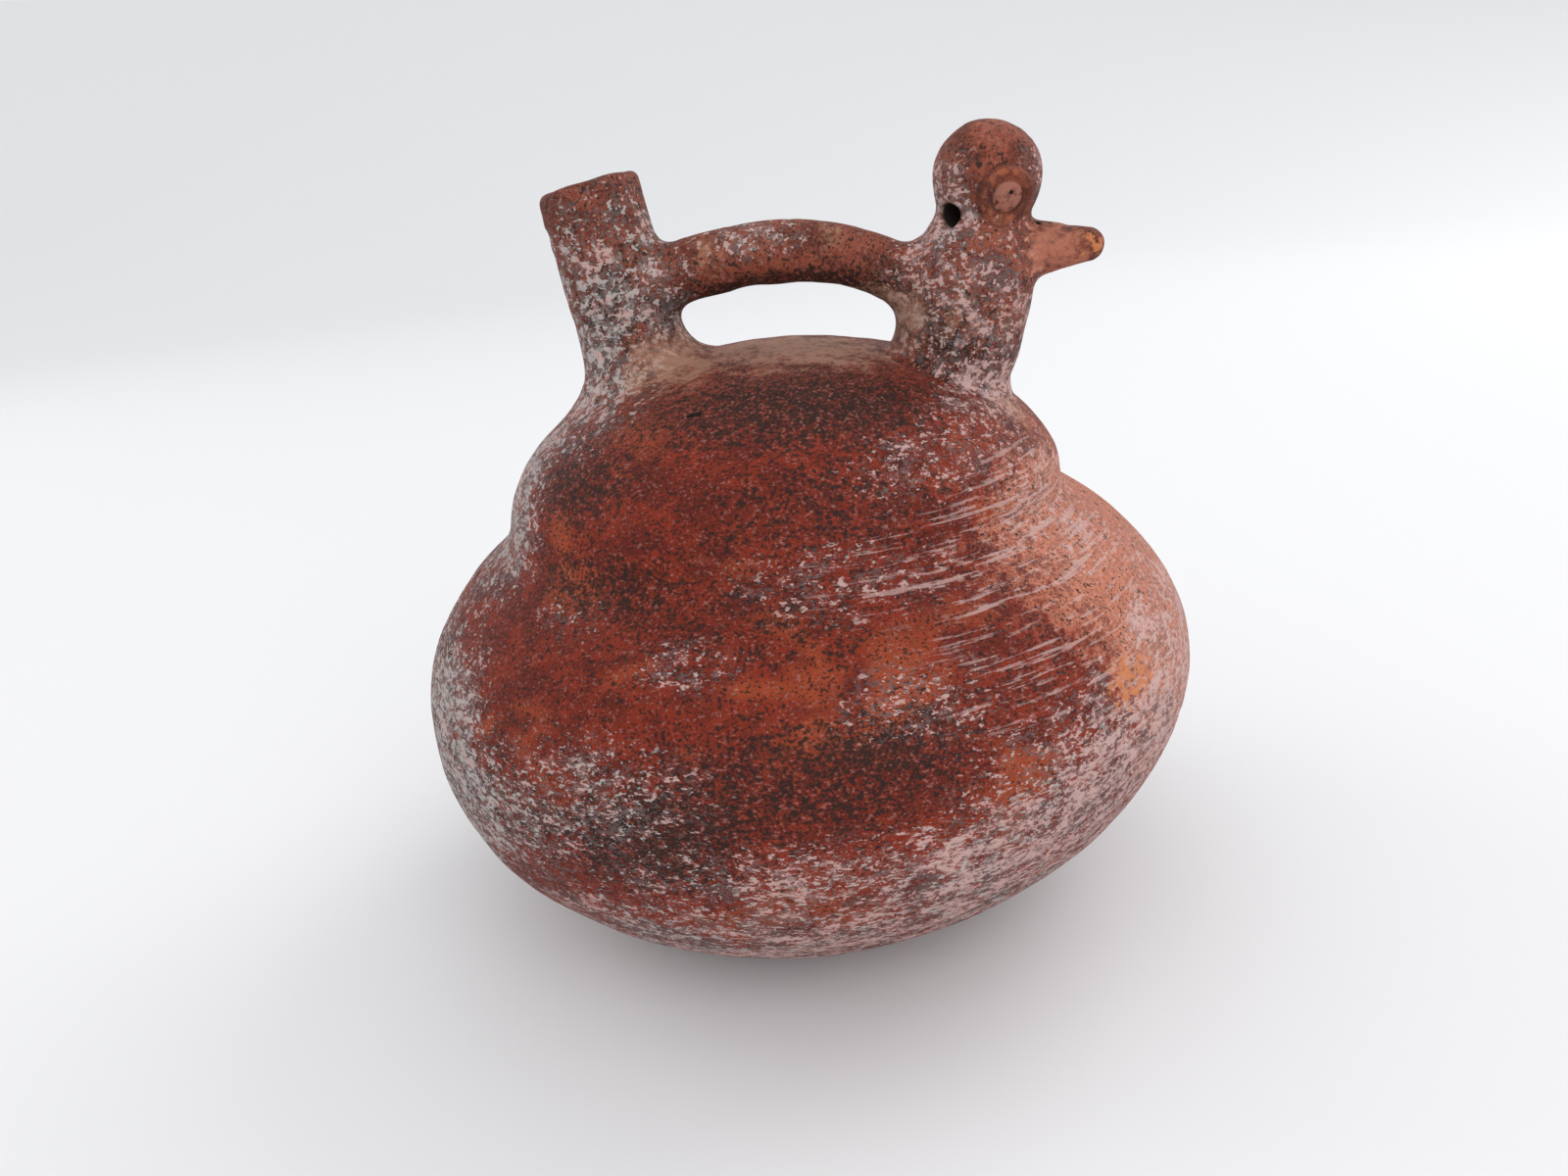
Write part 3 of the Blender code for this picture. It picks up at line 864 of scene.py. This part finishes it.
def clay_material():
    material = bpy.data.materials.new("burnished_red_slip")
    g = Graph(material)
    # Each noise: size, detail, roughness, stretch, shift and warp
    cloud = g.step(g.noise(17.0, 2.0, 0.55, (0.7, 0.7, 1.2), 3.0, 0.4), 0.34, 0.66)
    blotch = g.noise(6.5, 4.0, 0.66, (0.75, 0.75, 1.15), 17.0, 0.5)
    fleck = g.noise(1.7, 3.0, 0.68, (0.8, 0.8, 1.1), 23.0)
    speck = g.noise(0.62, 1.0, 0.6, (0.85, 0.85, 1.1), 31.0)
    crust = g.noise(3.8, 3.0, 0.66, (0.50, 0.50, 1.15), 41.0, 0.4)
    grain = g.noise(0.9, 2.0, 0.68, (0.60, 0.60, 1.2), 47.0)
    lace = g.noise(1.9, 5.0, 0.82, (0.62, 0.62, 1.15), 59.0, 0.2)

    colour = slip(g, cloud, blotch, fleck, lace)
    colour = stain_and_crease_shade(g, colour, blotch, fleck, speck)
    colour = lime(g, colour, blotch, fleck, speck, crust, grain, lace)

    # Brush marks that climb towards the duck's breast
    marks = g.brushed(0.75, 15.0)
    broken = g.add(g.scaled(marks, 0.70), g.scaled(lace, 0.30))
    brushed = g.patch(g.scaled(places(g, BRUSH_PLACES), 0.50), g.step(broken, 0.38, 0.62), 0.20)
    colour = g.mix(g.scaled(brushed, 0.62), colour, PINK_LIME)

    # Dust, buff clay and rubbed clay, then clay worn bare
    uneven = g.add(g.scaled(blotch, 0.40), g.scaled(lace, 0.30), g.scaled(grain, 0.30))
    dry = g.step(uneven, 0.38, 0.62)
    layers = (
        (DUST_PLACES, 0.66, DUST),
        (BUFF_PLACES, 0.60, BUFF),
        (RUBBED_PLACES, 0.74, RUBBED_CLAY),
    )
    for spots, strength, clay in layers:
        colour = g.mix(g.scaled(g.patch(places(g, spots), dry, 0.45), strength), colour, clay)
    worn = g.patch(places(g, WORN_PLACES), g.step(fleck, 0.34, 0.66), 0.28)
    colour = g.mix(g.scaled(worn, 0.85), colour, BARE_CLAY)
    for side in (-1, 1):
        colour = eye_colour(g, colour, side, blotch, fleck)
    g.put(g.shader.inputs["Base Color"], painted_hole_shade(g, colour))

    rough = g.add(0.46, g.scaled(fleck, 0.18), g.scaled(lace, 0.26))
    g.put(g.shader.inputs["Roughness"], rough)
    g.shader.inputs["Metallic"].default_value = 0.0
    g.shader.inputs["Specular IOR Level"].default_value = 0.14

    fine = g.add(g.scaled(grain, 0.40), g.scaled(speck, 0.30), g.scaled(lace, 0.60))
    fine = g.add(fine, g.scaled(marks, 0.25))
    bump = g.new("ShaderNodeBump", {"Strength": 0.7, "Distance": 0.0005, "Height": fine})
    g.put(g.shader.inputs["Normal"], bump.outputs["Normal"])
    return material


def floor():
    """A pale floor that turns up softly at its edge, far behind the vessel on every side."""
    flat_radius = 1.5
    steepest = math.radians(60.0)
    steps = 8
    bm = bmesh.new()
    outline = [(0.0, 0.0), (flat_radius, 0.0)]
    for k in range(1, steps + 1):
        turn = steepest * k / steps
        outline.append((flat_radius + math.sin(turn), 1.0 - math.cos(turn)))
    verts = [bm.verts.new((r, 0.0, z)) for r, z in outline]
    edges = [bm.edges.new(pair) for pair in zip(verts, verts[1:])]
    bmesh.ops.spin(
        bm,
        geom=verts + edges,
        cent=(0, 0, 0),
        axis=(0, 0, 1),
        angle=math.tau,
        steps=96,
        use_merge=True,
    )
    bmesh.ops.remove_doubles(bm, verts=bm.verts, dist=1e-6)
    bmesh.ops.recalc_face_normals(bm, faces=bm.faces)
    mesh = bpy.data.meshes.new("floor")
    bm.to_mesh(mesh)
    bm.free()
    mesh.shade_smooth()
    material = bpy.data.materials.new("pale_paper")
    material.use_nodes = True
    shader = material.node_tree.nodes["Principled BSDF"]
    shader.inputs["Base Color"].default_value = (0.765, 0.765, 0.772, 1.0)
    shader.inputs["Roughness"].default_value = 0.9
    shader.inputs["Specular IOR Level"].default_value = 0.1
    mesh.materials.append(material)
    obj = bpy.data.objects.new("floor", mesh)
    bpy.context.scene.collection.objects.link(obj)


def area_light(name, spot, aim, size, power, colour):
    data = bpy.data.lights.new(name, "AREA")
    data.shape = "DISK"
    data.size = size
    data.energy = power
    data.color = colour
    obj = bpy.data.objects.new(name, data)
    obj.location = spot
    obj.rotation_mode = "QUATERNION"
    obj.rotation_quaternion = (Vector(aim) - Vector(spot)).to_track_quat("-Z", "Y")
    bpy.context.scene.collection.objects.link(obj)


def lights():
    area_light("back_window", (1.1, 1.0, 1.2), (0.0, 0.0, 0.05), 1.5, 10.5, (1.0, 1.0, 1.0))
    area_light("left_soft", (-1.3, 0.35, 0.8), (0.0, 0.0, 0.08), 0.9, 3.0, (1.0, 0.99, 0.97))
    area_light("front_soft", (0.5, -1.2, 0.7), (0.0, -0.1, 0.0), 1.4, 9.0, (1.0, 1.0, 1.0))
    world = bpy.data.worlds.new("studio")
    world.use_nodes = True
    background = world.node_tree.nodes["Background"]
    background.inputs["Color"].default_value = (0.97, 0.98, 1.0, 1.0)
    background.inputs["Strength"].default_value = 0.90
    bpy.context.scene.world = world
    bpy.context.scene.view_settings.view_transform = "Standard"


def camera():
    """The photograph's view: close, from above the shoulder, and turned a little anticlockwise."""
    data = bpy.data.cameras.new("camera")
    data.sensor_width = 36.0
    data.lens = 29.25
    data.clip_start = 0.01
    data.clip_end = 20.0
    obj = bpy.data.objects.new("camera", data)
    turn = math.radians(9.31)
    pitch = math.radians(19.65)
    pan = math.radians(0.23)
    roll = math.radians(5.43)
    distance = 0.2977
    height = 0.1839
    heading = Vector((-math.sin(turn - pan), math.cos(turn - pan), 0.0))
    forward = heading * math.cos(pitch) - Vector((0.0, 0.0, math.sin(pitch)))
    obj.location = Vector((distance * math.sin(turn), -distance * math.cos(turn), height))
    across = forward.cross(Vector((0.0, 0.0, 1.0))).normalized()
    up = across.cross(forward)
    level = Matrix((across, up, -forward)).transposed()
    obj.rotation_mode = "QUATERNION"
    obj.rotation_quaternion = (level @ Matrix.Rotation(-roll, 3, "Z")).to_quaternion()
    bpy.context.scene.collection.objects.link(obj)
    bpy.context.scene.camera = obj


skin = clay_skin()
skin.data.materials.clear()
skin.data.materials.append(clay_material())
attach(skin, "root")
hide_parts("vessel")
floor()
lights()
camera()
bpy.context.view_layer.update()
